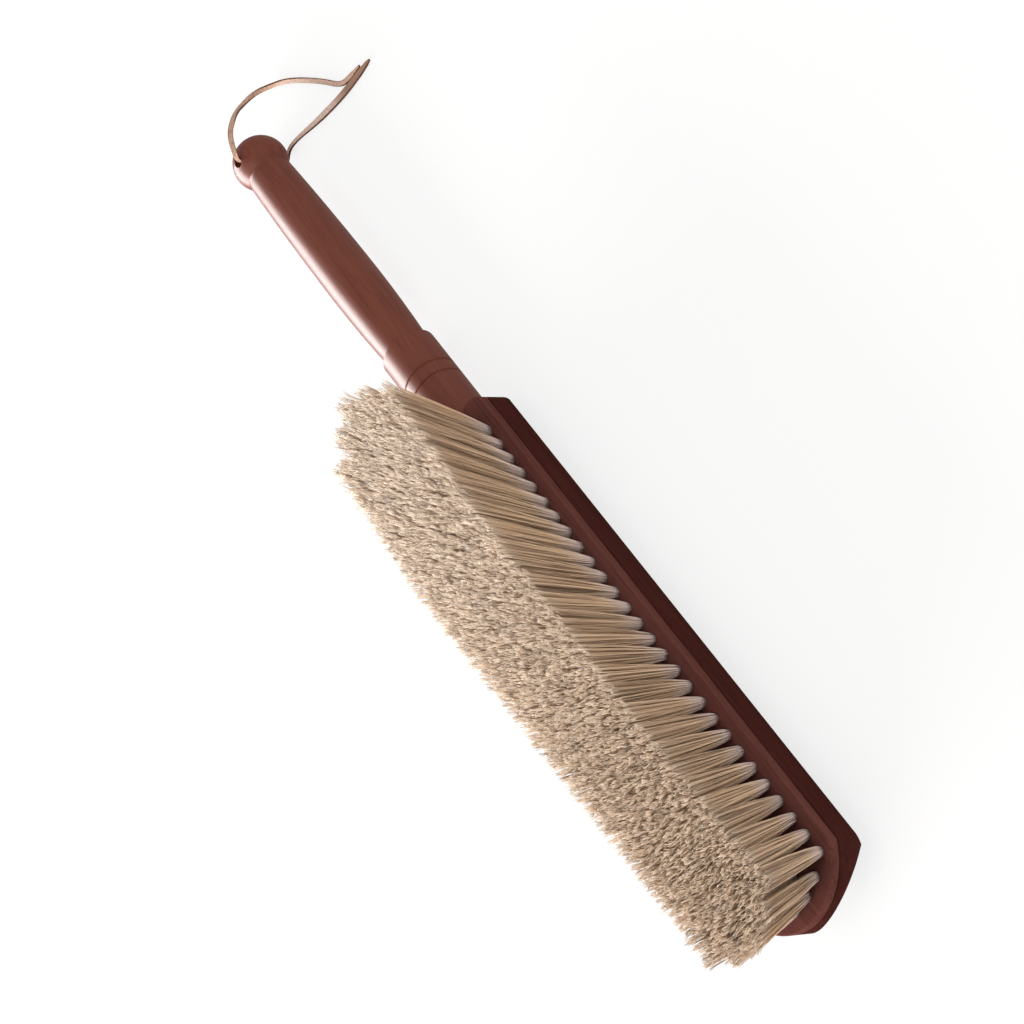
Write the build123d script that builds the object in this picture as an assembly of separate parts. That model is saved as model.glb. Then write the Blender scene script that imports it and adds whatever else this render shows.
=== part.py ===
from build123d import *
import math
import os

# Neck duster brush: a turned wooden handle with a ball end, tenoned into a long wooden
# stock that carries five rows of drawn bristle tufts, with a leather lace through the ball.
# It lies on the crowned back of its stock, bristles up. While the pieces are made, the
# handle's shoulder is at x = 0, the handle runs to +X, the stock to -X, and z = 0 is the
# surface that the back rests on. At the end all pieces move together, so that the origin
# is at the middle of the underside of the whole brush without its lace.

# Stock: a bored tuft board glued on a crowned back. All sizes are in millimetres.
STOCK_LENGTH = 230.5
STOCK_WIDTH = 40.0
STOCK_THICKNESS = 23.2
BOARD_THICKNESS = 3.5
FAR_END_BULGE = 10.7
SHOULDER_INSET = 9.0
SHOULDER_ROUND = 10.5
QUIRK = 0.6
ARRIS = 0.5
BACK_SIDE_HEIGHT = 1.5
BACK_FLAT = 10.0
BACK_SIDE_TURN = 40.0
TOE_WALL = 6.5
TOE_BEVEL = 27.0
TOE_CROWN = 0.7
SHOULDER_EASE = 1.5
SHOULDER_EASE_HEIGHT = 2.4

# Bristle tufts.
ROWS = 5
SIDE_MARGIN = 6.0
TUFT_PITCH = 7.5
HOLE_DIAMETER = 4.0
HOLE_SIDES = 8
TUFT_CLEARANCE = 0.3
TUFT_SIDES = 5
FIRST_TUFT = 16.0
END_MARGIN = 7.0
TUFT_STAND = 0.4
ROOT_STRIP_WIDTH = 3.6
ROOT_STRIP_THICKNESS = 0.8
WIRE_DIAMETER = 0.5
WIRE_SIDES = 6
RECESS_RIM = 2.4
RECESS_SLACK = 0.1
BRISTLE_HEIGHT = 36.0
OUTER_STRANDS = 3
INNER_STRANDS = 2
STRAND_RADIUS = 0.6
ROOT_CIRCLE_RADIUS = 0.75
TIP_CIRCLE_RADIUS = 2.2
FAN_REACH = 62.0
HANDLE_END_LEAN = 27.0
FAR_END_LEAN = 25.0
SIDE_LEAN = 4.5
CORNER_LEAN = 2.0

# Handle: radii, and distances from the shoulder towards the ball.
AXIS_BELOW_FACE = 10.3
TENON_DIAMETER = 9.0
TENON_LENGTH = 26.0
GLUE_GAP = 0.1
COLLAR_LENGTH = 45.0
COLLAR_RADIUS = 10.2
RING_PLACES = (23.3, 29.1)
RING_WIDTH = 1.0
RING_DEPTH = 0.5
WAIST_RADIUS = 8.5
COVE = 1.6
LOWER_GRIP = (68.0, 9.4)
SWELL = (92.0, 9.6)
UPPER_GRIP = (120.0, 9.25)
GRIP_END = 148.2
GRIP_END_RADIUS = 8.45
GROOVE_RADIUS = 7.9
GROOVE_LEAD = 0.8
BALL_PLACE = 157.2
BALL_RADIUS = 10.3
LACE_HOLE_DIAMETER = 4.2

# Lace: its routes are points from the middle of the ball in plan, at heights above the
# surface. The upper leg arches out of the top of the ball, falls to the surface, circles
# back and ends alongside the lower leg. The lower leg runs out under the ball to the tip.
LACE_DIAMETER = 2.2
LACE_SIDES = 5
LACE_ON_SURFACE = LACE_DIAMETER / 2
LACE_TOP = 16.5
LACE_FOOT = 6.9
UPPER_LEG = (
    (0.0, 0.0, LACE_TOP), (0.0, 0.0, 22.5), (-0.5, -4.5, 27.0), (3.5, -9.5, 29.0),
    (8.0, -13.0, 26.5), (14.5, -11.5, 21.0), (21.5, -9.5, 14.5), (27.0, -12.5, 6.5),
    (25.5, -17.5, LACE_ON_SURFACE), (19.5, -23.5, LACE_ON_SURFACE),
    (10.5, -30.0, LACE_ON_SURFACE), (0.0, -36.5, LACE_ON_SURFACE),
    (-10.5, -42.0, LACE_ON_SURFACE), (-12.5, -49.0, LACE_ON_SURFACE),
)
LOWER_LEG = (
    (0.0, 0.0, LACE_FOOT), (0.0, 0.0, LACE_ON_SURFACE), (3.0, -4.5, LACE_ON_SURFACE),
    (1.0, -11.0, LACE_ON_SURFACE), (-5.0, -22.5, LACE_ON_SURFACE),
    (-10.0, -34.0, LACE_ON_SURFACE), (-14.0, -45.5, LACE_ON_SURFACE),
    (-17.0, -57.5, LACE_ON_SURFACE),
)

# Heights and places that follow from the sizes above.
FACE = STOCK_THICKNESS
BACK_TOP = FACE - BOARD_THICKNESS
CROWN_TOP = BACK_TOP - BACK_SIDE_HEIGHT
AXIS_HEIGHT = FACE - AXIS_BELOW_FACE
FAR_END_RADIUS = (FAR_END_BULGE**2 + (STOCK_WIDTH / 2) ** 2) / (2 * FAR_END_BULGE)
ROW_SPACING = (STOCK_WIDTH - 2 * SIDE_MARGIN) / (ROWS - 1)
RECESS_DEPTH = ROOT_STRIP_THICKNESS + WIRE_DIAMETER + RECESS_SLACK
TUFT_DIAMETER = HOLE_DIAMETER - 2 * TUFT_CLEARANCE


def stock_plan(inset=0.0):
    """The stock seen from its face: a round far end and eased shoulders at the handle."""
    half = STOCK_WIDTH / 2 - inset
    flat = half - SHOULDER_INSET
    near = -inset
    far = -STOCK_LENGTH + inset
    end_radius = FAR_END_RADIUS - inset
    far_corner = far + end_radius - math.sqrt(end_radius**2 - half**2)
    turn = math.asin(SHOULDER_INSET / SHOULDER_ROUND)
    near_corner = near - SHOULDER_ROUND * (1 - math.cos(turn))
    mid_x = near - SHOULDER_ROUND * (1 - math.cos(turn / 2))
    mid_y = flat + SHOULDER_ROUND * math.sin(turn / 2)
    outline = [
        Line((near, -flat), (near, flat)),
        ThreePointArc((near, flat), (mid_x, mid_y), (near_corner, half)),
        Line((near_corner, half), (far_corner, half)),
        ThreePointArc((far_corner, half), (far, 0), (far_corner, -half)),
        Line((far_corner, -half), (near_corner, -half)),
        ThreePointArc((near_corner, -half), (mid_x, -mid_y), (near, -flat)),
    ]
    return make_face(outline)


def eased_quarter(side, foot):
    """Two tangent arcs that turn from upright at the side to level at the foot."""
    width = abs(foot[0] - side[0])
    height = abs(foot[1] - side[1])
    way = math.copysign(1, foot[0] - side[0])
    turn = math.radians(BACK_SIDE_TURN)
    sine = math.sin(turn)
    cosine = math.cos(turn)
    spread = 1 - sine - cosine
    side_radius = (width * (1 - sine) - height * cosine) / spread
    foot_radius = (height * (1 - cosine) - width * sine) / spread

    def on_side(angle):
        return (side[0] + way * side_radius * (1 - math.cos(angle)),
                side[1] - side_radius * math.sin(angle))

    def on_foot(angle):
        return (foot[0] - way * foot_radius * math.cos(angle),
                foot[1] + foot_radius * (1 - math.sin(angle)))

    return [
        ThreePointArc(side, on_side(turn / 2), on_side(turn)),
        ThreePointArc(on_side(turn), on_foot((turn + math.pi / 2) / 2), foot),
    ]


def crown_section():
    """Half-round section of the back, looking along the brush, as a face in the YZ plane."""
    half = STOCK_WIDTH / 2
    flat = BACK_FLAT / 2
    outline = [
        Line((-half, CROWN_TOP), (-half, BACK_TOP)),
        Line((-half, BACK_TOP), (half, BACK_TOP)),
        Line((half, BACK_TOP), (half, CROWN_TOP)),
        *eased_quarter((half, CROWN_TOP), (flat, 0)),
        Line((flat, 0), (-flat, 0)),
        *eased_quarter((-half, CROWN_TOP), (-flat, 0)),
    ]
    return Plane.YZ * make_face(outline)


def side_elevation():
    """Outline of the back from the side: a crowned bevel rises to the wall of the far end."""
    far = -STOCK_LENGTH
    wall_foot = (far, FACE - TOE_WALL)
    heel = (far + TOE_BEVEL, 0)
    slope = math.hypot(TOE_BEVEL, wall_foot[1])
    crown = (
        far + TOE_BEVEL / 2 - TOE_CROWN * wall_foot[1] / slope,
        wall_foot[1] / 2 - TOE_CROWN * TOE_BEVEL / slope,
    )
    outline = [
        Line(wall_foot, (far, BACK_TOP)),
        Line((far, BACK_TOP), (0, BACK_TOP)),
        Line((0, BACK_TOP), (0, SHOULDER_EASE_HEIGHT)),
        *eased_quarter((0, SHOULDER_EASE_HEIGHT), (-SHOULDER_EASE, 0)),
        Line((-SHOULDER_EASE, 0), heel),
        ThreePointArc(heel, crown, wall_foot),
    ]
    return Plane.XZ * make_face(outline)


def row_offset(row):
    """Distance of a row of tufts from the middle line of the stock."""
    return (row - (ROWS - 1) / 2) * ROW_SPACING


def tuft_places(row):
    """Middles of a row's tufts, spread evenly between the shoulder and the round end.

    Each row starts half a pitch nearer to the shoulder than the row outside it.
    """
    y = row_offset(row)
    end_rise = FAR_END_RADIUS - math.sqrt(FAR_END_RADIUS**2 - y**2)
    first = -FIRST_TUFT + min(row, ROWS - 1 - row) * TUFT_PITCH / 2
    last = -STOCK_LENGTH + end_rise + END_MARGIN
    gaps = math.floor((first - last) / TUFT_PITCH)
    return [(first + (last - first) * i / gaps, y) for i in range(gaps + 1)]


def make_tuft_board():
    """Thin board with a bored hole for every tuft and an eased upper arris."""
    board = Pos(0, 0, BACK_TOP) * extrude(stock_plan(), BOARD_THICKNESS)
    board = chamfer(board.faces().sort_by(Axis.Z)[0].edges(), QUIRK)
    board = chamfer(board.faces().sort_by(Axis.Z)[-1].edges(), ARRIS)
    bore = extrude(RegularPolygon(HOLE_DIAMETER / 2, HOLE_SIDES), BOARD_THICKNESS)
    holes = [Pos(x, y, BACK_TOP) * bore for row in range(ROWS) for x, y in tuft_places(row)]
    return board - holes


def make_back_block():
    """Crowned back with the mortise for the handle and a recess over the tuft roots."""
    back = extrude(stock_plan(), BACK_TOP)
    back &= extrude(crown_section(), STOCK_LENGTH, both=True)
    back &= extrude(side_elevation(), STOCK_WIDTH, both=True)
    back = chamfer(back.faces().sort_by(Axis.Z)[-1].edges(), QUIRK)
    recess = Pos(0, 0, BACK_TOP - RECESS_DEPTH) * extrude(stock_plan(RECESS_RIM), STOCK_THICKNESS)
    depth = TENON_LENGTH + GLUE_GAP
    mortise = Cylinder(TENON_DIAMETER / 2 + GLUE_GAP, 2 * depth, rotation=(0, 90, 0))
    return back - recess - Pos(0, 0, AXIS_HEIGHT) * mortise


def lean_angles(x, y):
    """How far a tuft leans along and across the brush: upright in the middle, fanned at the ends."""
    half_width = row_offset(ROWS - 1)
    from_shoulder = -x - FIRST_TUFT
    from_far_end = x + STOCK_LENGTH - END_MARGIN
    near = max(0.0, 1 - from_shoulder / FAN_REACH) ** 2
    far = max(0.0, 1 - from_far_end / FAN_REACH) ** 2
    along = HANDLE_END_LEAN * near - FAR_END_LEAN * far
    across = (SIDE_LEAN + CORNER_LEAN * max(near, far)) * y / half_width
    return math.radians(along), math.radians(across)


def tuft_strands(x, y, count):
    """Coarse three-sided strands of one tuft, from its root to tips that are trimmed level."""
    along, across = lean_angles(x, y)
    tip_x = x + BRISTLE_HEIGHT * math.tan(along)
    tip_y = y + BRISTLE_HEIGHT * math.tan(across)
    root_z = FACE + TUFT_STAND / 2
    side = -1 if y > 0 else 1
    strands = []
    for i in range(count):
        angle = side * 360 * (i + 0.25) / count
        out = Vector(1, 0, 0).rotate(Axis.Z, angle)
        root = Vector(x, y, root_z) + out * ROOT_CIRCLE_RADIUS
        tip = Vector(tip_x, tip_y, FACE + BRISTLE_HEIGHT) + out * TIP_CIRCLE_RADIUS
        section = Pos(root) * Rot(0, 0, angle) * RegularPolygon(STRAND_RADIUS, 3)
        strands.append(extrude(section, (tip - root).length, dir=tip - root))
    return strands


def make_bristle_row(row):
    """One row of tufts: root strip, the tufts' butts in their holes, and the strands."""
    places = tuft_places(row)
    strip_z = BACK_TOP - ROOT_STRIP_THICKNESS / 2
    length = places[0][0] - places[-1][0] + ROOT_STRIP_WIDTH
    middle = (places[0][0] + places[-1][0]) / 2
    strip = Pos(middle, row_offset(row), strip_z) * Box(length, ROOT_STRIP_WIDTH, ROOT_STRIP_THICKNESS)
    butt_height = FACE + TUFT_STAND - strip_z
    butt = extrude(RegularPolygon(TUFT_DIAMETER / 2, TUFT_SIDES), butt_height)
    count = OUTER_STRANDS if row in (0, ROWS - 1) else INNER_STRANDS
    pieces = []
    for x, y in places:
        pieces.append(Pos(x, y, strip_z) * butt)
        pieces += tuft_strands(x, y, count)
    return strip + pieces


def make_drawing_wire(row):
    """Brass wire under one row, which draws the tufts into their holes."""
    places = tuft_places(row)
    length = places[0][0] - places[-1][0] + ROOT_STRIP_WIDTH
    middle = (places[0][0] + places[-1][0]) / 2
    height = BACK_TOP - ROOT_STRIP_THICKNESS - WIRE_DIAMETER / 2
    wire = extrude(Plane.YZ * RegularPolygon(WIRE_DIAMETER / 2, WIRE_SIDES), length / 2, both=True)
    return Pos(middle, row_offset(row), height) * wire


def make_handle():
    """Turned handle: tenon, ringed collar, waist, swelled grip, groove and bored ball."""
    tenon = TENON_DIAMETER / 2
    corners = [(-TENON_LENGTH, 0), (-TENON_LENGTH, tenon), (0, tenon), (0, COLLAR_RADIUS)]
    for place in RING_PLACES:
        corners += [
            (place - RING_WIDTH / 2, COLLAR_RADIUS),
            (place, COLLAR_RADIUS - RING_DEPTH),
            (place + RING_WIDTH / 2, COLLAR_RADIUS),
        ]
    waist = (COLLAR_LENGTH + COVE, WAIST_RADIUS)
    cove_middle = (
        COLLAR_LENGTH + COVE * (1 - math.sqrt(0.5)),
        COLLAR_RADIUS + (WAIST_RADIUS - COLLAR_RADIUS) * math.sqrt(0.5),
    )
    corners += [(COLLAR_LENGTH, COLLAR_RADIUS), cove_middle, waist]
    grip_end = (GRIP_END, GRIP_END_RADIUS)
    groove_start = (GRIP_END + GROOVE_LEAD, GROOVE_RADIUS)
    ball_start = (BALL_PLACE - math.sqrt(BALL_RADIUS**2 - GROOVE_RADIUS**2), GROOVE_RADIUS)
    ball_tip = (BALL_PLACE + BALL_RADIUS, 0)
    outline = [
        Polyline(corners),
        ThreePointArc(waist, LOWER_GRIP, SWELL),
        ThreePointArc(SWELL, UPPER_GRIP, grip_end),
        Line(grip_end, groove_start),
        Line(groove_start, ball_start),
        ThreePointArc(ball_start, (BALL_PLACE, BALL_RADIUS), ball_tip),
        Line(ball_tip, corners[0]),
    ]
    handle = revolve(make_face(outline), Axis.X)
    bore = Pos(BALL_PLACE, 0, 0) * Cylinder(LACE_HOLE_DIAMETER / 2, 3 * BALL_RADIUS)
    return Pos(0, 0, AXIS_HEIGHT) * (handle - bore)


def corner_radii(points):
    """The largest bend that the two runs beside each corner allow."""
    radii = []
    for before, corner, after in zip(points, points[1:], points[2:]):
        run_in = Vector(*corner) - Vector(*before)
        run_out = Vector(*after) - Vector(*corner)
        half_turn = math.radians(run_in.get_angle(run_out)) / 2
        radii.append(0.45 * min(run_in.length, run_out.length) / math.tan(half_turn))
    return radii


def make_lace(name, route):
    """A stretch of the lace: a tube on straight runs joined by tangent arcs."""
    points = [(x + BALL_PLACE, y, z) for x, y, z in route]
    radii = corner_radii(points)
    path = FilletPolyline(points, radius=radii)
    start = Plane(origin=path @ 0, z_dir=path % 0)
    section = start * RegularPolygon(LACE_DIAMETER / 2, LACE_SIDES)
    tube = sweep(section, path)
    expected = section.area * path.length
    print(name, "bend radii", [round(r, 1) for r in radii], "length", round(path.length, 1),
          "volume", round(tube.volume, 1), "section times length", round(expected, 1))
    return tube


def make_lace_in_ball():
    """The lace inside the ball, from the foot of one leg to the start of the other."""
    section = RegularPolygon(LACE_DIAMETER / 2, LACE_SIDES)
    return Pos(BALL_PLACE, 0, LACE_FOOT) * extrude(section, LACE_TOP - LACE_FOOT)


def make_brush():
    """Every piece of the brush without its lace, by name."""
    pieces = {
        "handle": make_handle(),
        "tuft_board": make_tuft_board(),
        "back_block": make_back_block(),
    }
    for row in range(ROWS):
        pieces[f"bristle_row_{row + 1}"] = make_bristle_row(row)
        pieces[f"drawing_wire_{row + 1}"] = make_drawing_wire(row)
    return pieces


brush = make_brush()
whole = Compound(children=[Compound(piece.solids()) for piece in brush.values()]).bounding_box()
to_origin = Pos(-whole.center().X, 0, -whole.min.Z)
print("brush size", whole.size, "shoulder moves to x", round(-whole.center().X, 3))
brush["lace_upper_leg"] = make_lace("upper leg", UPPER_LEG)
brush["lace_lower_leg"] = make_lace("lower leg", LOWER_LEG)
brush["lace_in_ball"] = make_lace_in_ball()

os.makedirs("parts", exist_ok=True)
for name, piece in brush.items():
    solids = [to_origin * solid for solid in piece.solids()]
    shape = solids[0] if len(solids) == 1 else Compound(solids)
    export_step(shape, f"parts/{name}.step")
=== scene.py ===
"""Neck duster brush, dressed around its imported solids.

The wooden handle, the stock and the drawing wires keep their solids and get their finishes
here. The bristle rows and the leather lace are made here in full. Everything is in metres,
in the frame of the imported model: +X runs from the stock's round end to the handle's ball,
+Z from the back that the brush lies on to the bristle tips.
"""

import logging
import math
from dataclasses import dataclass, field
from enum import Enum
from typing import Any, Sequence

import bpy
import numpy as np
from mathutils import Matrix, Vector


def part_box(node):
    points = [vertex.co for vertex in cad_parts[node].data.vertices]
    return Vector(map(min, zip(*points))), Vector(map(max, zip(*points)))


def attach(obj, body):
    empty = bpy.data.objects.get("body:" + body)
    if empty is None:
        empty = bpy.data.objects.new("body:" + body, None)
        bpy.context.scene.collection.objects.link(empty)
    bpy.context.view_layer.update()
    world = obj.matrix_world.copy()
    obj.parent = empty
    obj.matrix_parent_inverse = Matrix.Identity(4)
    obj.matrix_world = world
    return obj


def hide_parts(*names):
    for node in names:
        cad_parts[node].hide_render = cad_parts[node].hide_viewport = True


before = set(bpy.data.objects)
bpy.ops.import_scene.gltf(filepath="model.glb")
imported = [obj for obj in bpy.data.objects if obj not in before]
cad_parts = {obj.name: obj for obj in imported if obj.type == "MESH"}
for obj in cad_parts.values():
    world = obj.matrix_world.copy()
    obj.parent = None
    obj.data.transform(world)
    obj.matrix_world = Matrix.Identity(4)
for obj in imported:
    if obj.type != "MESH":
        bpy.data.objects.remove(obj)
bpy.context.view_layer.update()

LOG = logging.getLogger("neck_duster")
MM = 0.001
ROOT_BODY = "root"
FULL_TURN = 2 * math.pi
GOLDEN_ANGLE = math.pi * (3 - math.sqrt(5))
UP = Vector((0.0, 0.0, 1.0))

# A Mix node gives its sockets the same names for numbers, vectors and colours.
MIX_FACTOR, MIX_FIRST, MIX_SECOND = 0, 6, 7
MIX_RESULT = 2

Colour = tuple[float, float, float, float]
Point = tuple[float, float, float]
Stations = tuple[tuple[float, float], ...]
Tree = bpy.types.NodeTree
Socket = bpy.types.NodeSocket

BLACK: Colour = (0.0, 0.0, 0.0, 1.0)
WHITE: Colour = (1.0, 1.0, 1.0, 1.0)


def linear(hex_code: str) -> Colour:
    """Turn an sRGB hex colour into the linear colour that a shader takes.

    Args:
        hex_code: six hex digits, with or without a leading #.

    Returns:
        Linear red, green, blue and an alpha of 1.
    """
    digits = hex_code.lstrip("#")
    values = [int(digits[i : i + 2], 16) / 255 for i in (0, 2, 4)]
    red, green, blue = (
        value / 12.92 if value <= 0.04045 else ((value + 0.055) / 1.055) ** 2.4
        for value in values
    )
    return red, green, blue, 1.0


def add_node(
    tree: Tree,
    kind: str,
    inputs: dict[Any, Any] | None = None,
    stops: Sequence[tuple[float, Colour]] = (),
    **settings: Any,
) -> bpy.types.Node:
    """Add one node with its settings, socket values and incoming links.

    Args:
        tree: the node tree to add to.
        kind: the node's type name.
        inputs: socket name or number, to a value or to the output socket to link from.
        stops: place from 0 to 1 and linear colour of each stop, if it is a colour ramp.
        settings: the node's own properties.

    Returns:
        The new node.
    """
    made = tree.nodes.new(kind)
    for name, value in settings.items():
        setattr(made, name, value)
    for name, value in (inputs or {}).items():
        if isinstance(value, bpy.types.NodeSocket):
            tree.links.new(value, made.inputs[name])
        else:
            made.inputs[name].default_value = value
    if stops:
        elements = made.color_ramp.elements
        while len(elements) < len(stops):
            elements.new(0.5)
        for element, (place, colour) in zip(elements, stops):
            element.position = place
            element.color = colour
    return made


def new_material(name: str) -> tuple[bpy.types.Material, Tree]:
    """Make an empty node material.

    Args:
        name: the material's name.

    Returns:
        The material and its node tree.
    """
    material = bpy.data.materials.new(name)
    material.use_nodes = True
    material.node_tree.nodes.clear()
    return material, material.node_tree


def seen_as_background(tree: Tree) -> Socket:
    """Tell the rays that show a background from the rays that light the brush.

    Args:
        tree: the node tree of the background's material, or of the world.

    Returns:
        A socket that is 1 for rays from the camera, in gloss and through glass, and else 0.
    """
    ray = add_node(tree, "ShaderNodeLightPath")
    seen = ray.outputs["Is Camera Ray"]
    for kind in ("Is Glossy Ray", "Is Transmission Ray"):
        either = add_node(
            tree, "ShaderNodeMath", {0: seen, 1: ray.outputs[kind]}, operation="MAXIMUM"
        )
        seen = either.outputs[0]
    return seen


@dataclass(frozen=True)
class Streaks:
    """Noise drawn out along the brush, as the pores and the stain of its wood are.

    The noise counts as low up to `low` and as high from `high`, and fades between them.
    """

    length: float
    width: float
    detail: float
    shift: float
    low: float
    high: float

    def noise(self, tree: Tree, place: Socket) -> Socket:
        """Add the noise.

        Args:
            tree: the node tree to add to.
            place: the socket of the place on the wood.

        Returns:
            The socket of the noise, from 0 to 1.
        """
        drawn_out = add_node(
            tree,
            "ShaderNodeMapping",
            {
                "Vector": place,
                "Scale": (1 / self.length, 1 / self.width, 1 / self.width),
                "Location": (self.shift, self.shift, self.shift),
            },
        )
        noise = add_node(
            tree,
            "ShaderNodeTexNoise",
            {"Vector": drawn_out.outputs["Vector"], "Scale": 1.0, "Detail": self.detail},
        )
        return noise.outputs["Fac"]


@dataclass(frozen=True)
class LacqueredHardwood:
    """Dense hardwood, turned or shaped, stained red-brown and lacquered.

    To the eye: an even red-brown with fine darker pores drawn out along the grain, slow
    clouds of lighter stain, and a soft sheen from the lacquer. The lacquer alone gives the
    highlights, so that with none of it the wood is matt. Real pores are about 0.2 mm wide,
    and they are drawn wider here, as wide as it takes to see them.
    """

    name: str
    stain: str
    light_stain: str
    pore: str
    roughness: float
    lacquer: float
    clouds: Streaks = Streaks(
        length=45 * MM, width=5 * MM, detail=3.0, shift=4.0, low=0.32, high=0.72
    )
    pores: Streaks = Streaks(
        length=22 * MM, width=1.1 * MM, detail=2.0, shift=9.0, low=0.34, high=0.5
    )
    # How fully a pore's colour covers the stain, as a grey, and how deep it looks.
    pore_cover: str = "b0b0b0"
    pore_relief: float = 0.12
    pore_depth: float = 0.05 * MM
    # How far the roughness goes down and up from cloud to cloud.
    smoother: float = 0.04
    rougher: float = 0.06
    lacquer_roughness: float = 0.38
    lacquer_ior: float = 1.45

    def make(self) -> bpy.types.Material:
        """Build the material.

        Returns:
            The wood's material.
        """
        material, tree = new_material(self.name)
        place = add_node(tree, "ShaderNodeTexCoord").outputs["Object"]
        clouds = self.clouds.noise(tree, place)
        pores = self.pores.noise(tree, place)
        stain = add_node(
            tree,
            "ShaderNodeValToRGB",
            {"Fac": clouds},
            stops=[
                (self.clouds.low, linear(self.stain)),
                (self.clouds.high, linear(self.light_stain)),
            ],
        )
        pored = add_node(
            tree,
            "ShaderNodeValToRGB",
            {"Fac": pores},
            stops=[(self.pores.low, linear(self.pore_cover)), (self.pores.high, BLACK)],
        )
        colour = add_node(
            tree,
            "ShaderNodeMix",
            {
                MIX_FACTOR: pored.outputs["Color"],
                MIX_FIRST: stain.outputs["Color"],
                MIX_SECOND: linear(self.pore),
            },
            data_type="RGBA",
        )
        bump = add_node(
            tree,
            "ShaderNodeBump",
            {"Height": pores, "Strength": self.pore_relief, "Distance": self.pore_depth},
        )
        rough = add_node(
            tree,
            "ShaderNodeMapRange",
            {
                "Value": clouds,
                "To Min": self.roughness - self.smoother,
                "To Max": self.roughness + self.rougher,
            },
        )
        shader = add_node(
            tree,
            "ShaderNodeBsdfPrincipled",
            {
                "Base Color": colour.outputs[MIX_RESULT],
                "Roughness": rough.outputs["Result"],
                "Specular IOR Level": 0.0,
                "Coat Weight": self.lacquer,
                "Coat Roughness": self.lacquer_roughness,
                "Coat IOR": self.lacquer_ior,
                "Normal": bump.outputs["Normal"],
            },
        )
        add_node(tree, "ShaderNodeOutputMaterial", {"Surface": shader.outputs["BSDF"]})
        return material


@dataclass(frozen=True)
class CrimpedBristle:
    """Natural bristle, washed and bleached, crimped and cut.

    To the eye: cream to tan fibres, each of its own shade, paler at their cut ends, with a soft
    sheen along them. They are painted paler and pinker where they are bound at the board: that
    is painted light, which stands in for the light that the roots lack in the shade between the
    tufts. Some fibres are much darker than the rest, from a little above the board to their
    tips, and are kept pale at the board as part of the same painted light.

    The fibres carry two attributes: `along`, from 0 at the board to 1 at the tip, and `shade`,
    from 0 for the darkest fibre to 1 for the palest. Places are shares of those.
    """

    name: str = "natural_bristle_bleached"
    # The bound colour is painted light: pale, pink roots in place of the shade between the tufts.
    bound: str = "f0dcd2"
    shaft: str = "eccaa6"
    tip: str = "eed8c0"
    dark_fibre: str = "80624a"
    bound_to: float = 0.05
    shaft_from: float = 0.30
    shaft_to: float = 0.80
    darkest_shade: float = 0.1
    palest_dark_shade: float = 0.42
    # Dark fibres are kept pale at the board, as part of the painted light on the roots.
    dark_from: float = 0.06
    fully_dark_from: float = 0.3
    roughness: float = 0.5
    gloss: float = 0.28
    sheen: float = 0.15
    sheen_roughness: float = 0.4

    def make(self) -> bpy.types.Material:
        """Build the material.

        Returns:
            The bristles' material.
        """
        material, tree = new_material(self.name)
        along = add_node(tree, "ShaderNodeAttribute", attribute_name="along").outputs["Fac"]
        shade = add_node(tree, "ShaderNodeAttribute", attribute_name="shade").outputs["Fac"]
        body = add_node(
            tree,
            "ShaderNodeValToRGB",
            {"Fac": along},
            stops=[
                (self.bound_to, linear(self.bound)),
                (self.shaft_from, linear(self.shaft)),
                (self.shaft_to, linear(self.shaft)),
                (1.0, linear(self.tip)),
            ],
        )
        dark = add_node(
            tree,
            "ShaderNodeValToRGB",
            {"Fac": shade},
            stops=[(self.darkest_shade, WHITE), (self.palest_dark_shade, BLACK)],
        )
        # Painted light on the roots: no dark fibre darkens them near the board.
        above_painted_root_light = add_node(
            tree,
            "ShaderNodeValToRGB",
            {"Fac": along},
            stops=[(self.dark_from, BLACK), (self.fully_dark_from, WHITE)],
        )
        darker = add_node(
            tree,
            "ShaderNodeMix",
            {
                MIX_FACTOR: 1.0,
                MIX_FIRST: dark.outputs["Color"],
                MIX_SECOND: above_painted_root_light.outputs["Color"],
            },
            data_type="RGBA",
            blend_type="MULTIPLY",
        )
        colour = add_node(
            tree,
            "ShaderNodeMix",
            {
                MIX_FACTOR: darker.outputs[MIX_RESULT],
                MIX_FIRST: body.outputs["Color"],
                MIX_SECOND: linear(self.dark_fibre),
            },
            data_type="RGBA",
        )
        shader = add_node(
            tree,
            "ShaderNodeBsdfPrincipled",
            {
                "Base Color": colour.outputs[MIX_RESULT],
                "Roughness": self.roughness,
                "Specular IOR Level": self.gloss,
                "Sheen Weight": self.sheen,
                "Sheen Roughness": self.sheen_roughness,
            },
        )
        add_node(tree, "ShaderNodeOutputMaterial", {"Surface": shader.outputs["BSDF"]})
        return material


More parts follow.
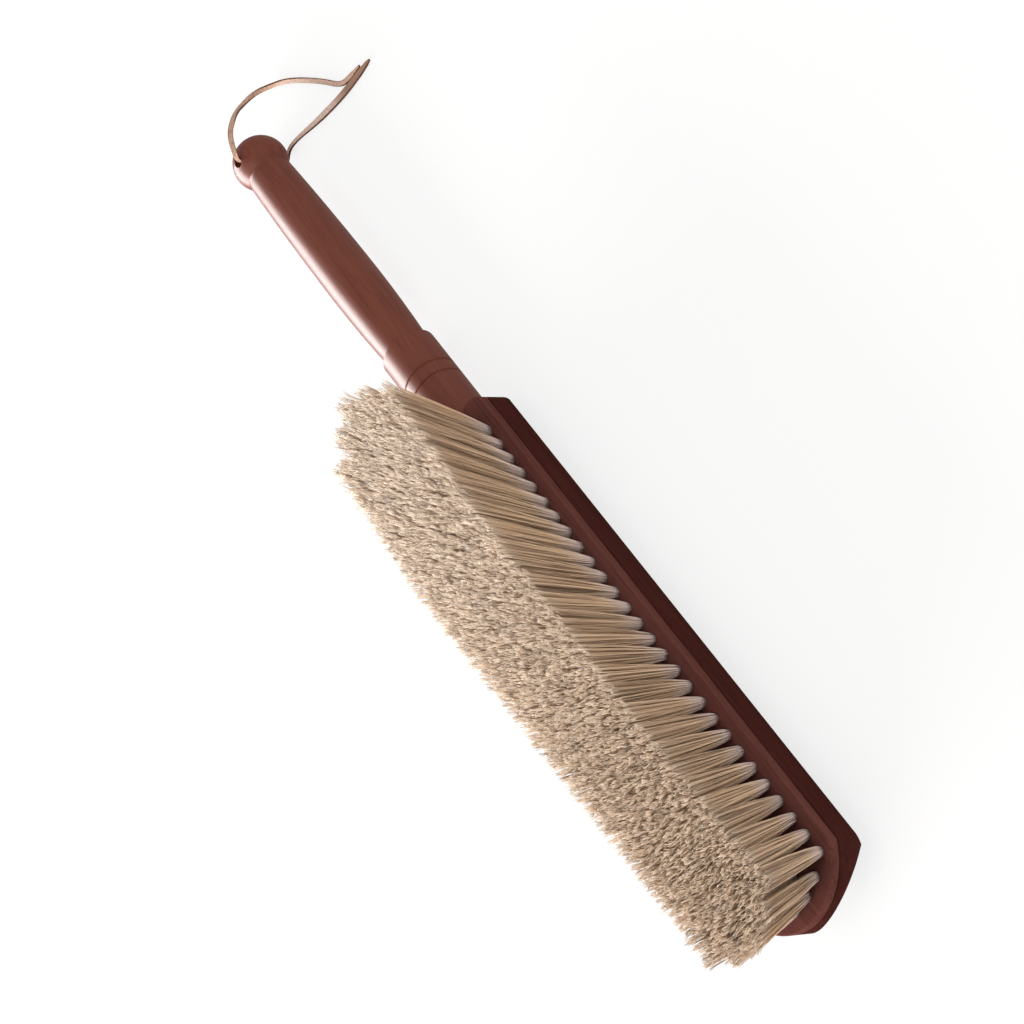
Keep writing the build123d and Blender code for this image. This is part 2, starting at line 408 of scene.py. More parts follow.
@dataclass(frozen=True)
class TannedLeather:
    """Vegetable-tanned leather lace, cut from the hide and worn smooth.

    To the eye: a matt tan grain side with fine creases across it, and a cut edge painted dark,
    as painted shade on the strip's narrow sides.
    A strip that is often held has gone brown towards its free end. Real creases are about
    0.3 mm apart, and they are drawn further apart here, so that they show.
    """

    name: str
    dye: str
    crease: str
    roughness: float
    handled: str | None = None
    handled_from: float = 0.6
    handled_fade: float = 0.15
    crease_spacing: float = 0.8 * MM
    crease_detail: float = 4.0
    crease_to: float = 0.35
    dye_from: float = 0.6
    crease_relief: float = 0.3
    crease_depth: float = 0.08 * MM
    gloss: float = 0.04

    def make(self) -> bpy.types.Material:
        """Build the material.

        Returns:
            The leather's material.
        """
        material, tree = new_material(self.name)
        place = add_node(tree, "ShaderNodeTexCoord").outputs["Object"]
        grain = add_node(
            tree,
            "ShaderNodeTexNoise",
            {"Vector": place, "Scale": 1 / self.crease_spacing, "Detail": self.crease_detail},
        ).outputs["Fac"]
        colour = add_node(
            tree,
            "ShaderNodeValToRGB",
            {"Fac": grain},
            stops=[(self.crease_to, linear(self.crease)), (self.dye_from, linear(self.dye))],
        ).outputs["Color"]
        if self.handled:
            along = add_node(tree, "ShaderNodeAttribute", attribute_name="along")
            browned = add_node(
                tree,
                "ShaderNodeValToRGB",
                {"Fac": along.outputs["Fac"]},
                stops=[
                    (self.handled_from, BLACK),
                    (self.handled_from + self.handled_fade, WHITE),
                ],
            )
            colour = add_node(
                tree,
                "ShaderNodeMix",
                {
                    MIX_FACTOR: browned.outputs["Color"],
                    MIX_FIRST: colour,
                    MIX_SECOND: linear(self.handled),
                },
                data_type="RGBA",
            ).outputs[MIX_RESULT]
        bump = add_node(
            tree,
            "ShaderNodeBump",
            {"Height": grain, "Strength": self.crease_relief, "Distance": self.crease_depth},
        )
        shader = add_node(
            tree,
            "ShaderNodeBsdfPrincipled",
            {
                "Base Color": colour,
                "Roughness": self.roughness,
                "Specular IOR Level": self.gloss,
                "Normal": bump.outputs["Normal"],
            },
        )
        add_node(tree, "ShaderNodeOutputMaterial", {"Surface": shader.outputs["BSDF"]})
        return material


@dataclass(frozen=True)
class DrawnBrass:
    """Brass wire, drawn bright: clear yellow metal with browner spots of tarnish."""

    name: str = "brass_drawn_wire"
    metal: str = "c9a24e"
    tarnish: str = "8a6a2c"
    spot_size: float = 3 * MM
    metal_to: float = 0.4
    tarnish_from: float = 0.7
    roughness: float = 0.3

    def make(self) -> bpy.types.Material:
        """Build the material.

        Returns:
            The wire's material.
        """
        material, tree = new_material(self.name)
        place = add_node(tree, "ShaderNodeTexCoord").outputs["Object"]
        spots = add_node(
            tree, "ShaderNodeTexNoise", {"Vector": place, "Scale": 1 / self.spot_size}
        )
        colour = add_node(
            tree,
            "ShaderNodeValToRGB",
            {"Fac": spots.outputs["Fac"]},
            stops=[
                (self.metal_to, linear(self.metal)),
                (self.tarnish_from, linear(self.tarnish)),
            ],
        )
        shader = add_node(
            tree,
            "ShaderNodeBsdfPrincipled",
            {
                "Base Color": colour.outputs["Color"],
                "Metallic": 1.0,
                "Roughness": self.roughness,
            },
        )
        add_node(tree, "ShaderNodeOutputMaterial", {"Surface": shader.outputs["BSDF"]})
        return material


@dataclass(frozen=True)
class PaperSweep:
    """White paper under and behind the brush: matt, and white to the camera and in gloss.

    The camera sees plain white, but for the share of the matt paper that takes the shadow.
    """

    name: str = "white_paper_sweep"
    paper: str = "f2f0ee"
    shadow_share: float = 0.22

    def make(self) -> bpy.types.Material:
        """Build the material.

        Returns:
            The paper's material.
        """
        material, tree = new_material(self.name)
        share = add_node(
            tree,
            "ShaderNodeMath",
            {0: seen_as_background(tree), 1: 1 - self.shadow_share},
            operation="MULTIPLY",
        )
        matt = add_node(tree, "ShaderNodeBsdfDiffuse", {"Color": linear(self.paper)})
        white = add_node(tree, "ShaderNodeEmission", {"Color": WHITE, "Strength": 1.0})
        both = add_node(
            tree,
            "ShaderNodeMixShader",
            {0: share.outputs[0], 1: matt.outputs["BSDF"], 2: white.outputs["Emission"]},
        )
        add_node(tree, "ShaderNodeOutputMaterial", {"Surface": both.outputs["Shader"]})
        return material


class MaterialSlot(Enum):
    """Names of the record's material slots for the pieces made here, which no piece is given."""

    BRISTLE = "natural_bristle"
    LACE = "leather_lace"


def add_piece(name: str, mesh: bpy.types.Mesh) -> bpy.types.Object:
    """Put a mesh in the scene as a piece that rides on the brush.

    Args:
        name: the piece's name.
        mesh: its mesh.

    Returns:
        The new piece.
    """
    made = bpy.data.objects.new(name, mesh)
    bpy.context.scene.collection.objects.link(made)
    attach(made, ROOT_BODY)
    return made


@dataclass
class Lace:
    """The leather hanging lace: one flat strip through the ball, and its two free legs.

    Each leg follows one smooth line. Its control points are the route of its solid, but for
    the last three of the upper leg, which lead its tail a few millimetres further. The
    stations of a strip give a share of its length and a value there: how far it is turned
    about its line, in degrees, or its width as a share of the full one.
    """

    ball: Vector
    width: float = 2.6 * MM
    thickness: float = 1.0 * MM
    # Shares of the half width and the half thickness at which the worn corners begin.
    flat_share: float = 0.82
    square_share: float = 0.55
    # The share of the thickness that a strip would keep at no width at all.
    least_thickness: float = 0.35
    on_surface: float = 1.1 * MM
    mouth: float = 10.1 * MM
    upper_turns: Stations = ((0.0, 60.0), (0.5, 60.0), (0.75, 10.0), (1.0, 0.0))
    upper_widths: Stations = (
        (0.0, 0.75), (0.3, 0.7), (0.6, 0.75), (0.88, 0.75), (0.95, 0.85), (1.0, 0.35),
    )
    lower_turns: Stations = ((0.0, 0.0), (1.0, 0.0))
    lower_widths: Stations = (
        (0.0, 0.6), (0.25, 0.65), (0.5, 1.0), (0.75, 1.1), (0.9, 1.0), (0.97, 0.65), (1.0, 0.3),
    )
    hidden_turns: Stations = ((0.0, 0.0), (1.0, 0.0))
    hidden_widths: Stations = ((0.0, 0.9), (1.0, 0.9))
    spline_order: int = 3
    spline_steps: int = 10
    # A step this close to upright, as a sine, has no level side of its own.
    upright: float = 0.3
    grain: TannedLeather = TannedLeather(
        "leather_grain_side", dye="c4a089", crease="a37e6a", roughness=0.6
    )
    held_grain: TannedLeather = TannedLeather(
        "leather_held_grain_side", dye="d6baa8", crease="bc9c8a", roughness=0.6, handled="8c6650"
    )
    # The cut edge's dark colour is painted shade: it darkens the strip's narrow sides as if in
    # shadow.
    edge: TannedLeather = TannedLeather(
        "leather_edge_painted_shade", dye="6b4738", crease="523327", roughness=0.5
    )

    def upper_route(self) -> list[Vector]:
        """Out of the ball's top, over in an arch, and back along the surface to the tail.

        Returns:
            The control points of the upper leg.
        """
        floor = self.on_surface / MM
        route = [
            (0.0, 0.0, 16.5), (0.0, 0.0, 22.5), (-0.5, -4.5, 27.0), (3.5, -9.5, 29.0),
            (8.0, -13.0, 26.5), (14.5, -11.5, 21.0), (21.5, -9.5, 14.5), (27.0, -12.5, 6.5),
            (25.5, -17.5, floor), (19.5, -23.5, floor), (10.5, -30.0, floor),
            (0.0, -36.5, floor), (-8.6, -40.8, floor), (-11.6, -46.0, floor),
            (-13.5, -52.5, floor),
        ]
        return self.placed(route)

    def lower_route(self) -> list[Vector]:
        """Out under the ball and along the surface to the pointed tip.

        Returns:
            The control points of the lower leg.
        """
        floor = self.on_surface / MM
        route = [
            (0.0, 0.0, 6.9), (0.0, 0.0, floor), (3.0, -4.5, floor), (1.0, -11.0, floor),
            (-5.0, -22.5, floor), (-10.0, -34.0, floor), (-14.0, -45.5, floor),
            (-17.0, -57.5, floor),
        ]
        return self.placed(route)

    def placed(self, route: Sequence[Point]) -> list[Vector]:
        """Turn a route in millimetres into places in metres.

        Args:
            route: points, in plan from the ball's middle and in height from the surface.

        Returns:
            The points in the frame of the model.
        """
        return [Vector((self.ball.x + x * MM, self.ball.y + y * MM, z * MM)) for x, y, z in route]

    def line(self, name: str, route: Sequence[Vector]) -> list[Vector]:
        """Points along the smooth line that a leg follows.

        Args:
            name: the leg's name.
            route: the line's control points.

        Returns:
            Points read from the NURBS spline.
        """
        curve = bpy.data.curves.new(name + "_line", "CURVE")
        curve.dimensions = "3D"
        spline = curve.splines.new("NURBS")
        spline.points.add(len(route) - 1)
        for point, place in zip(spline.points, route):
            point.co = (*place, 1.0)
        spline.order_u = self.spline_order
        spline.use_endpoint_u = True
        spline.resolution_u = self.spline_steps
        holder = bpy.data.objects.new(name + "_line", curve)
        mesh = bpy.data.meshes.new_from_object(holder)
        points = [vertex.co.copy() for vertex in mesh.vertices]
        bpy.data.objects.remove(holder)
        bpy.data.curves.remove(curve)
        bpy.data.meshes.remove(mesh)
        return points

    def section(self) -> list[tuple[float, float]]:
        """Corners of the strip's section, in half widths and half thicknesses."""
        flat, square = self.flat_share, self.square_share
        return [
            (-1.0, -square), (-flat, -1.0), (flat, -1.0), (1.0, -square),
            (1.0, square), (flat, 1.0), (-flat, 1.0), (-1.0, square),
        ]

    def corners(
        self, line: Sequence[Vector], turn: Sequence[float], share: Sequence[float]
    ) -> list[Vector]:
        """Corners of the strip's section at each point of its line.

        Args:
            line: the points that it follows.
            turn: its turn about the line at each point, in degrees.
            share: its width at each point, as a share of the full one.

        Returns:
            The corners, point by point.
        """
        level = []
        for a, b in zip(line, line[1:]):
            side = UP.cross(b - a)
            steep = side.length <= self.upright * (b - a).length
            level.append(None if steep else side.normalized())
        side = next((found for found in level if found is not None), Vector((0, 1, 0)))
        points = []
        for i, place in enumerate(line):
            ahead = line[min(i + 1, len(line) - 1)] - line[max(i - 1, 0)]
            ahead.normalize()
            side = level[min(i, len(level) - 1)] or side
            side = (side - ahead * side.dot(ahead)).normalized()
            across = Matrix.Rotation(math.radians(turn[i]), 3, ahead) @ side
            normal = ahead.cross(across)
            half_width = self.width / 2 * share[i]
            half_thickness = self.thickness / 2 * min(1.0, self.least_thickness + share[i])
            for u, v in self.section():
                points.append(place + across * (u * half_width) + normal * (v * half_thickness))
        return points

    def strip(
        self,
        name: str,
        finishes: Sequence[bpy.types.Material],
        line: Sequence[Vector],
        turns: Stations,
        widths: Stations,
    ) -> bpy.types.Object:
        """A flat strip of leather along a line.

        Args:
            name: the strip's name.
            finishes: the finish of its two flat sides, and that of its cut edges.
            line: the points that it follows.
            turns: stations of the strip's turn about its line.
            widths: stations of the strip's width.

        Returns:
            The strip, closed at both ends.
        """
        steps = [(b - a).length for a, b in zip(line, line[1:])]
        reached = np.concatenate([[0.0], np.cumsum(steps)]) / sum(steps)
        turn = np.interp(reached, *zip(*turns))
        share = np.interp(reached, *zip(*widths))
        points = self.corners(line, turn, share)
        count = len(self.section())
        flat_sides = (1, 5)
        faces = []
        is_edge = []
        for ring in range(0, (len(line) - 1) * count, count):
            for k in range(count):
                after = (k + 1) % count
                faces.append([ring + k, ring + after, ring + count + after, ring + count + k])
                is_edge.append(k not in flat_sides)
        last_ring = (len(line) - 1) * count
        faces.append(list(reversed(range(count))))
        faces.append([last_ring + k for k in range(count)])
        is_edge += [True, True]
        mesh = bpy.data.meshes.new(name)
        mesh.from_pydata([tuple(point) for point in points], [], faces)
        mesh.validate()
        for finish in finishes:
            mesh.materials.append(finish)
        for polygon, edge in zip(mesh.polygons, is_edge):
            polygon.material_index = int(edge)
        along = mesh.attributes.new("along", "FLOAT", "POINT")
        along.data.foreach_set("value", np.repeat(reached, count).astype(np.float32))
        return add_piece(name, mesh)

    def build(self) -> list[bpy.types.Object]:
        """Make the two legs and the stretch in the ball.

        Returns:
            The three strips.
        """
        grain, held_grain, edge = (
            finish.make() for finish in (self.grain, self.held_grain, self.edge)
        )
        upper_line = self.line("lace_upper", self.upper_route())
        upper = self.strip(
            "leather_lace_upper_leg",
            (grain, edge),
            upper_line,
            self.upper_turns,
            self.upper_widths,
        )
        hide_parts("lace_upper_leg")
        lower_line = self.line("lace_lower", self.lower_route())
        lower = self.strip(
            "leather_lace_lower_leg",
            (held_grain, edge),
            lower_line,
            self.lower_turns,
            self.lower_widths,
        )
        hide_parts("lace_lower_leg")
        middle = self.strip(
            "leather_lace_in_ball",
            (grain, edge),
            [self.lower_route()[0], self.upper_route()[0]],
            self.hidden_turns,
            self.hidden_widths,
        )
        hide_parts("lace_in_ball")
        return [upper, lower, middle]


def around(bearing: np.ndarray) -> np.ndarray:
    """Unit vectors in plan at these bearings, in radians from +X."""
    return np.stack([np.cos(bearing), np.sin(bearing)], 1)


@dataclass
class TuftedRow:
    """One row of drawn bristle tufts: thousands of fibres, bound at the board and cut level.

    Angles are in degrees. Places along a fibre are shares of its height, and places in a tuft
    are shares of its radius. Real bristle is about 0.1 mm across. The fibres are drawn
    thicker, so that they show.
    """

    number: int
    face: float
    shoulder: float
    stock_length: float
    stock_half_width: float
    rows: int = 5
    side_margin: float = 6.0 * MM
    pitch: float = 7.5 * MM
    first_tuft: float = 16.0 * MM
    end_margin: float = 7.0 * MM
    end_bulge: float = 10.7 * MM
    # How the tufts lean: along the brush, and across it at even steps from the shoulder.
    fan_middle: float = 3.4
    fan_swing: float = 21.75
    end_round: float = 7.4
    row_skew: float = 2.0
    first_row_lean: tuple[float, ...] = (-5.5, -1.0, 1.0, -1.0, -5.5)
    last_row_lean: tuple[float, ...] = (5.0, 9.5, 7.0, 4.0, 2.0)
    # A tuft's size, from its bound root to its tips.
    height: float = 36.0 * MM
    bound_radius: float = 1.6 * MM
    spread_along: float = 4.1 * MM
    spread_across: float = 4.3 * MM
    outer_share: float = 0.8
    squareness: float = 0.7
    flare: float = 0.66
    # Its fibres.
    fibres: int = 260
    fibre_radius: float = 0.12 * MM
    taper: float = 0.4
    # Their points: the first is down in the hole, and the last at the cut end.
    levels: tuple[float, ...] = (-0.02, 0.05, 0.2, 0.5, 0.92, 1.0)
    lock_shade: float = 0.58
    own_shade: float = 0.42
    # How they hang together in locks, and how each one wanders.
    locks: int = 46
    lock_jitter: float = 0.06
    gather: float = 0.95
    loosest: float = 0.5
    lock_bend: float = 0.35 * MM
    wave: float = 0.25 * MM
    slowest_wave: float = 1.2
    fastest_wave: float = 2.6
    curl: float = 1.3 * MM
    curl_share: float = 0.08
    curl_scatter: float = 0.5
    lock_trim: float = 0.42 * MM
    trim: float = 0.25 * MM
    stray_share: float = 0.04
    stray_reach: float = 1.06
    seed: int = 71

    def offset(self) -> float:
        """Distance of the row from the middle line of the stock."""
        spacing = 2 * (self.stock_half_width - self.side_margin) / (self.rows - 1)
        return (self.number - 1 - (self.rows - 1) / 2) * spacing

    def places(self) -> list[float]:
        """Distances of the row's tufts from the shoulder, towards the round end.

        Returns:
            One distance for each tuft. The first tuft stands nearer the shoulder in the
            middle rows than in the outer ones, and the last follows the round end.
        """
        end_radius = (self.end_bulge**2 + self.stock_half_width**2) / (2 * self.end_bulge)
        rise = end_radius - math.sqrt(end_radius**2 - self.offset() ** 2)
        from_side = min(self.number - 1, self.rows - self.number)
        first = self.first_tuft - from_side * self.pitch / 2
        last = self.stock_length - rise - self.end_margin
        gaps = math.floor((last - first) / self.pitch)
        return [first + (last - first) * i / gaps for i in range(gaps + 1)]

    def lean(self, place: float) -> tuple[float, float]:
        """How far a tuft leans along and across the brush.

        The tufts fan out along the brush from its middle, those of the middle rows most of
        all. Across it the outer rows lean outwards, and in the middle all sway a little to
        one side, as on a duster that has lain on that side.

        Args:
            place: the tuft's distance from the shoulder.

        Returns:
            Its lean towards +X and towards +Y, in radians.
        """
        end = self.stock_length - self.end_margin
        share = min(1.0, max(0.0, (place - self.first_tuft) / (end - self.first_tuft)))
        from_middle = self.offset() / (self.stock_half_width - self.side_margin)
        swing = self.fan_swing + self.end_round * (1 - from_middle**2)
        along = self.fan_middle + swing * math.cos(math.pi * share) + self.row_skew * from_middle
        stations = np.linspace(0.0, 1.0, len(self.first_row_lean))
        first = np.interp(share, stations, self.first_row_lean)
        last = np.interp(share, stations, self.last_row_lean)
        across = first + (last - first) * (1 + from_middle) / 2
        return math.radians(along), math.radians(float(across))

    def stretch(self, place: float) -> float:
        """How much further apart the tips of neighbouring tufts stand than their holes.

        Args:
            place: the tuft's distance from the shoulder.

        Returns:
            The tips' distance as a multiple of the holes'.
        """
        step = self.pitch / 2
        ahead = math.tan(self.lean(place + step)[0])
        behind = math.tan(self.lean(place - step)[0])
        return 1 + self.height * (behind - ahead) / (2 * step)

    def outer(self, place: float) -> np.ndarray:
        """Whether a tuft here stands at the outside of the brush, along it and across it."""
        places = self.places()
        return np.array([place in (places[0], places[-1]), self.number in (1, self.rows)])

    def scatter(
        self, count: int, rng: np.random.Generator
    ) -> tuple[np.ndarray, np.ndarray, np.ndarray]:
        """Scatter a tuft's fibres over a disc, and gather their tips to locks.

        Args:
            count: how many fibres the tuft has.
            rng: the row's random numbers.

        Returns:
            Places of the fibres in the disc at the board, their places in it at their tips,
            and the number of each fibre's lock.
        """
        reach = np.sqrt(rng.random(count))
        root = around(rng.random(count) * FULL_TURN) * reach[:, None]
        order = np.arange(self.locks)
        heart_reach = np.sqrt((order + 0.5) / self.locks)
        heart = around(order * GOLDEN_ANGLE + rng.random() * FULL_TURN) * heart_reach[:, None]
        heart += rng.normal(0, self.lock_jitter, heart.shape)
        lock = np.argmin(((root[:, None] - heart[None]) ** 2).sum(2), 1)
        tightness = self.loosest + (1 - self.loosest) * rng.random((count, 1))
        tip = root + (heart[lock] - root) * (self.gather * tightness)
        stray = rng.random(count) < self.stray_share
        tip[stray] = root[stray] * self.stray_reach
        return root, tip, lock

    def spread(self, place: float, tip: np.ndarray) -> np.ndarray:
        """How far the tips of a tuft's fibres stand from its middle.

        Args:
            place: the tuft's distance from the shoulder.
            tip: the tips' places in a disc.

        Returns:
            Their distances along and across the brush. The disc is drawn out towards a
            square that fills the room between tufts, and kept in at the brush's outside.
        """
        stretch = self.stretch(place)
        bearing = np.arctan2(tip[:, 1], tip[:, 0])
        corner = 1 / np.maximum(np.abs(np.cos(bearing)), np.abs(np.sin(bearing)))
        squared = tip * (1 + self.squareness * (corner - 1))[:, None]
        outward = np.array(self.lean(place)) * squared > 0
        kept_in = self.outer_share / np.array([stretch, 1.0])
        room = np.array([self.spread_along * stretch, self.spread_across])
        return squared * room * np.where(outward & self.outer(place), kept_in, 1.0)

    def wander(self, lock: np.ndarray, rng: np.random.Generator) -> np.ndarray:
        """How far fibres wander from their straight way to their tips.

        Args:
            lock: the number of each fibre's lock.
            rng: the row's random numbers.

        Returns:
            Distances along and across the brush, fibres by levels by 2: the bend of the
            fibre's lock, its own waves and the curl at its cut end.
        """
        count = len(lock)
        level = np.array(self.levels)[None, :, None]
        rise = np.maximum(level, 0.0)
        bend = rng.normal(0, self.lock_bend, (self.locks, 2))[lock]
        phase = rng.random((count, 1, 2)) * FULL_TURN
        pace = rng.uniform(self.slowest_wave, self.fastest_wave, (count, 1, 2))
        turn = rng.random(self.locks)[lock] * FULL_TURN + rng.normal(0, self.curl_scatter, count)
        curled = np.clip((level - (1 - self.curl_share)) / self.curl_share, 0, 1)
        hook = curled * self.curl * rng.random((count, 1, 1))
        wandered = bend[:, None] * (rise**self.flare - level**2)
        wandered = wandered + np.sin(level * pace * FULL_TURN + phase) * self.wave * rise
        return wandered + hook * around(turn)[:, None]

    def tuft(self, place: float, rng: np.random.Generator) -> tuple[np.ndarray, np.ndarray]:
        """Centre lines and shades of one tuft's fibres.

        Args:
            place: the tuft's distance from the shoulder.
            rng: the row's random numbers.

        Returns:
            Fibre points, fibres by levels by 3, and one shade for each fibre.
        """
        count = round(self.fibres * self.stretch(place))
        root, tip, lock = self.scatter(count, rng)
        height = self.height + rng.normal(0, self.lock_trim, self.locks)[lock]
        height = height + rng.normal(0, self.trim, count)
        middle = np.array([self.shoulder - place, self.offset()])
        leaned = np.array([math.tan(angle) for angle in self.lean(place)]) * self.height
        spread = self.spread(place, tip)

        level = np.array(self.levels)[None, :, None]
        rise = np.maximum(level, 0.0)
        fan = rise**self.flare
        line = np.empty((count, len(self.levels), 3))
        line[..., 2] = self.face + height[:, None] * level[..., 0]
        line[..., :2] = middle + leaned * rise
        line[..., :2] += (root * self.bound_radius)[:, None] * (1 - fan) + spread[:, None] * fan
        line[..., :2] += self.wander(lock, rng)
        own = rng.random(count)
        return line, self.own_shade * own + self.lock_shade * rng.random(self.locks)[lock]

    def build(self, finish: bpy.types.Material) -> list[bpy.types.Object]:
        """Make the row's fibres in two pieces, one for each half of its length.

        Args:
            finish: the bristle material.

        Returns:
            The two pieces, which replace the row's solid.
        """
        rng = np.random.default_rng(self.seed + self.number)
        places = self.places()
        half = len(places) // 2
        pieces = []
        for end, chosen in (("handle_half", places[:half]), ("far_half", places[half:])):
            tufts = [self.tuft(place, rng) for place in chosen]
            name = f"bristle_row_{self.number}_{end}"
            mesh = self.fibre_mesh(
                name,
                np.concatenate([points for points, _ in tufts]),
                np.concatenate([shades for _, shades in tufts]),
                rng,
            )
            mesh.materials.append(finish)
            made = add_piece(name, mesh)
            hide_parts(f"bristle_row_{self.number}")
            pieces.append(made)
        return pieces

    def fibre_mesh(
        self, name: str, line: np.ndarray, shade: np.ndarray, rng: np.random.Generator
    ) -> bpy.types.Mesh:
        """Make fibres as one mesh of closed, tapered, three-sided tubes.

        Args:
            name: the mesh's name.
            line: the fibres' centre lines, fibres by levels by 3.
            shade: one shade for each fibre.
            rng: the row's random numbers.

        Returns:
            The mesh, with the place along its fibre and the fibre's shade at each point.
        """
        sides = 3
        count, levels = line.shape[:2]
        level = np.array(self.levels)
        ahead = np.gradient(line, axis=1)
        ahead /= np.linalg.norm(ahead, axis=2, keepdims=True)
        side = np.cross(ahead, np.array([0.0, 1.0, 0.0]))
        side /= np.linalg.norm(side, axis=2, keepdims=True)
        other = np.cross(ahead, side)
        radius = self.fibre_radius * (1 - self.taper * level)[None, :, None]
        start = rng.random((count, 1, 1)) * FULL_TURN
        angles = [start + k * FULL_TURN / sides for k in range(sides)]
        rings = [line + radius * (np.cos(a) * side + np.sin(a) * other) for a in angles]
        points = np.stack(rings, 2).reshape(-1, 3)

        pairs = [(k, (k + 1) % sides) for k in range(sides)]
        wall = np.array([[a, b, b + sides, a + sides] for a, b in pairs])
        first = np.arange(count) * levels * sides
        ring = np.arange(levels - 1) * sides
        walls = first[:, None, None, None] + ring[None, :, None, None] + wall[None, None]
        walls = walls.reshape(-1, 4)
        butt = first[:, None] + np.arange(sides)[::-1]
        cut_end = first[:, None] + (levels - 1) * sides + np.arange(sides)
        caps = np.concatenate([butt, cut_end])
        mesh = bpy.data.meshes.new(name)
        mesh.vertices.add(len(points))
        mesh.vertices.foreach_set("co", points.ravel())
        mesh.loops.add(walls.size + caps.size)
        corners = np.concatenate([walls.ravel(), caps.ravel()])
        mesh.loops.foreach_set("vertex_index", corners.astype(np.int32))
        mesh.polygons.add(len(walls) + len(caps))
        wall_starts = np.arange(len(walls)) * walls.shape[1]
        cap_starts = walls.size + np.arange(len(caps)) * sides
        starts = np.concatenate([wall_starts, cap_starts])
        mesh.polygons.foreach_set("loop_start", starts.astype(np.int32))
        mesh.update(calc_edges=True)
        mesh.shade_smooth()
        along = mesh.attributes.new("along", "FLOAT", "POINT")
        along.data.foreach_set("value", np.tile(np.repeat(level, sides), count).astype(np.float32))
        shades = mesh.attributes.new("shade", "FLOAT", "POINT")
        shades.data.foreach_set("value", np.repeat(shade, levels * sides).astype(np.float32))
        LOG.info("%s: %d fibres", name, count)
        return mesh


@dataclass
class WoodenParts:
    """The turned handle and the two glued halves of the stock, whose solids stay."""

    handle: LacqueredHardwood = LacqueredHardwood(
        "handle_hardwood_lacquered",
        stain="6b382b",
        light_stain="744032",
        pore="552a21",
        roughness=0.4,
        lacquer=0.3,
    )
    board: LacqueredHardwood = LacqueredHardwood(
        "stock_hardwood_satin",
        stain="5e3832",
        light_stain="683f39",
        pore="472823",
        roughness=0.5,
        lacquer=0.0,
    )
    # The back's darker stain is partly its own darker wood and partly painted shade, which darkens
    # its side walls where they face away from the lamps.
    back: LacqueredHardwood = LacqueredHardwood(
        "back_hardwood_darkened_as_shade",
        stain="43211d",
        light_stain="4b2823",
        pore="341915",
        roughness=0.55,
        lacquer=0.0,
    )
    wire: DrawnBrass = DrawnBrass()

    def dress(self) -> None:
        """Give every solid that stays its finish."""
        finishes = {
            "handle": self.handle.make(),
            "tuft_board": self.board.make(),
            "back_block": self.back.make(),
        }
        wire = self.wire.make()
        finishes |= {name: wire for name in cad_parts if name.startswith("drawing_wire")}
        for name, finish in finishes.items():
            for material_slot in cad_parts[name].material_slots:
                material_slot.material = finish
            LOG.info("%s dressed in %s", name, finish.name)


def direction(bearing: float, height: float) -> Vector:
    """Way towards a point that is seen at this bearing and height.

    Args:
        bearing: degrees from -Y, growing towards +X.
        height: degrees above the surface that the brush lies on.

    Returns:
        A unit vector.
    """
    turn = math.radians(bearing)
    rise = math.radians(height)
    level = math.cos(rise)
    return Vector((math.sin(turn) * level, -math.cos(turn) * level, math.sin(rise)))


@dataclass
class Lamp:
    """A soft box: where it hangs, as seen from the brush, and how large and bright it is.

    Its bearing and height are in degrees, its distance and size in metres and its power in
    watts. One that is only in gloss shows in the lacquer and lights nothing else.
    """

    name: str
    bearing: float
    height: float
    distance: float
    width: float
    depth: float
    power: float
    colour: str = "ffffff"
    only_in_gloss: bool = False

    def hang(self, target: Vector) -> bpy.types.Object:
        """Hang the lamp so that it faces the target.

        Args:
            target: the point that it lights.

        Returns:
            The lamp.
        """
        data = bpy.data.lights.new(self.name, "AREA")
        data.shape = "RECTANGLE"
        data.size = self.width
        data.size_y = self.depth
        data.energy = self.power
        data.color = linear(self.colour)[:3]
        way = direction(self.bearing, self.height)
        lamp = bpy.data.objects.new(self.name, data)
        lamp.location = target + way * self.distance
        lamp.rotation_euler = way.to_track_quat("Z", "Y").to_euler()
        lamp.visible_diffuse = not self.only_in_gloss
        bpy.context.scene.collection.objects.link(lamp)
        return lamp


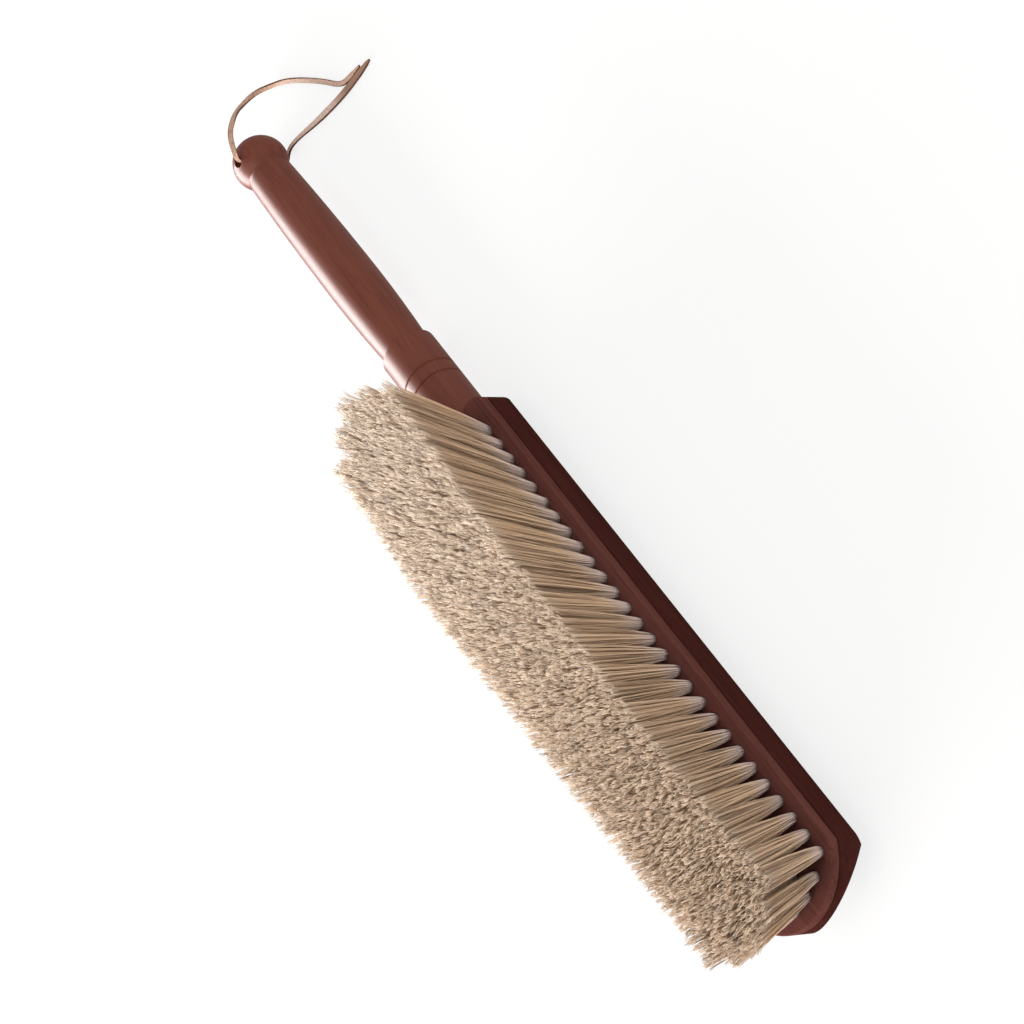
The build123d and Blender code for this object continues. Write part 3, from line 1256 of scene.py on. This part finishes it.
@dataclass
class Studio:
    """Camera, lamps, paper sweep and surroundings.

    The camera's place, angles and lens are those that the photograph's straight edges, tuft
    roots and turned rings give.
    """

    shoulder: float
    target_from_shoulder: float = 42.038 * MM
    target_side: float = -0.912 * MM
    target_height: float = 23.2 * MM
    distance: float = 1298.4 * MM
    bearing: float = -50.226
    height: float = 39.081
    roll: float = -90.711
    lens: float = 138.91
    sensor: float = 36.0
    nearest: float = 10 * MM
    sweep_size: float = 6.0
    surroundings: float = 0.5
    lamps: list[Lamp] = field(
        default_factory=lambda: [
            Lamp(
                "window_light", bearing=184.0, height=19.0, distance=1.3,
                width=1.6, depth=0.5, power=29.0,
            ),
            Lamp(
                "window_panes", bearing=158.0, height=20.0, distance=1.2,
                width=1.5, depth=0.75, power=150.0, only_in_gloss=True,
            ),
            Lamp(
                "overhead_fill", bearing=-80.0, height=70.0, distance=1.5,
                width=1.2, depth=1.2, power=10.2,
            ),
            Lamp(
                "side_fill", bearing=10.0, height=28.0, distance=1.3,
                width=1.2, depth=0.5, power=2.4,
            ),
        ]
    )

    def target(self) -> Vector:
        """The point on the board's face that the camera looks at."""
        along = self.shoulder - self.target_from_shoulder
        return Vector((along, self.target_side, self.target_height))

    def place_camera(self) -> bpy.types.Object:
        """Stand the camera where the photograph was taken from.

        Returns:
            The scene's camera.
        """
        back = direction(self.bearing, self.height)
        level_right = UP.cross(back).normalized()
        level_up = back.cross(level_right)
        turn = math.radians(self.roll)
        right = level_right * math.cos(turn) + level_up * math.sin(turn)
        up = back.cross(right)
        data = bpy.data.cameras.new("camera")
        data.lens = self.lens
        data.sensor_width = self.sensor
        data.clip_start = self.nearest
        camera = bpy.data.objects.new("camera", data)
        stand = Matrix.Translation(self.target() + back * self.distance)
        camera.matrix_world = stand @ Matrix((right, up, back)).transposed().to_4x4()
        bpy.context.scene.collection.objects.link(camera)
        bpy.context.scene.camera = camera
        return camera

    def lay_sweep(self) -> bpy.types.Object:
        """Lay the white paper that the brush lies on.

        Returns:
            The sheet of paper.
        """
        half = self.sweep_size / 2
        corners = [(-half, -half, 0), (half, -half, 0), (half, half, 0), (-half, half, 0)]
        mesh = bpy.data.meshes.new("paper_sweep")
        mesh.from_pydata(corners, [], [(0, 1, 2, 3)])
        mesh.materials.append(PaperSweep().make())
        sweep = bpy.data.objects.new("paper_sweep", mesh)
        bpy.context.scene.collection.objects.link(sweep)
        return sweep

    def surround(self) -> None:
        """Light the brush from all around, with surroundings that show as white."""
        world = bpy.data.worlds.new("studio")
        bpy.context.scene.world = world
        world.use_nodes = True
        tree = world.node_tree
        tree.nodes.clear()
        strength = add_node(
            tree,
            "ShaderNodeMapRange",
            {"Value": seen_as_background(tree), "To Min": self.surroundings, "To Max": 1.0},
        )
        sky = add_node(
            tree,
            "ShaderNodeBackground",
            {"Color": WHITE, "Strength": strength.outputs["Result"]},
        )
        add_node(tree, "ShaderNodeOutputWorld", {"Surface": sky.outputs["Background"]})

    def build(self) -> None:
        """Lay the sweep, hang the lamps and light the surroundings."""
        self.lay_sweep()
        for lamp in self.lamps:
            lamp.hang(self.target())
            LOG.info("%s hung", lamp.name)
        self.surround()
        bpy.context.scene.view_settings.view_transform = "Standard"


def main() -> None:
    """Build the studio and the brush."""
    logging.basicConfig(level=logging.INFO, format="%(name)s: %(message)s")
    board_low, board_high = (Vector(corner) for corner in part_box("tuft_board"))
    handle_low, handle_high = (Vector(corner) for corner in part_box("handle"))
    studio = Studio(board_high.x)
    studio.place_camera()

    ball_radius = (handle_high.y - handle_low.y) / 2
    ball = Vector((handle_high.x - ball_radius, 0.0, (handle_low.z + handle_high.z) / 2))
    for piece in Lace(ball).build():
        LOG.info("%s made", piece.name)

    bristle = CrimpedBristle().make()
    for number in range(1, TuftedRow.rows + 1):
        TuftedRow(
            number,
            face=board_high.z,
            shoulder=board_high.x,
            stock_length=board_high.x - board_low.x,
            stock_half_width=board_high.y,
        ).build(bristle)
    WoodenParts().dress()
    studio.build()


if __name__ == "__main__":
    main()
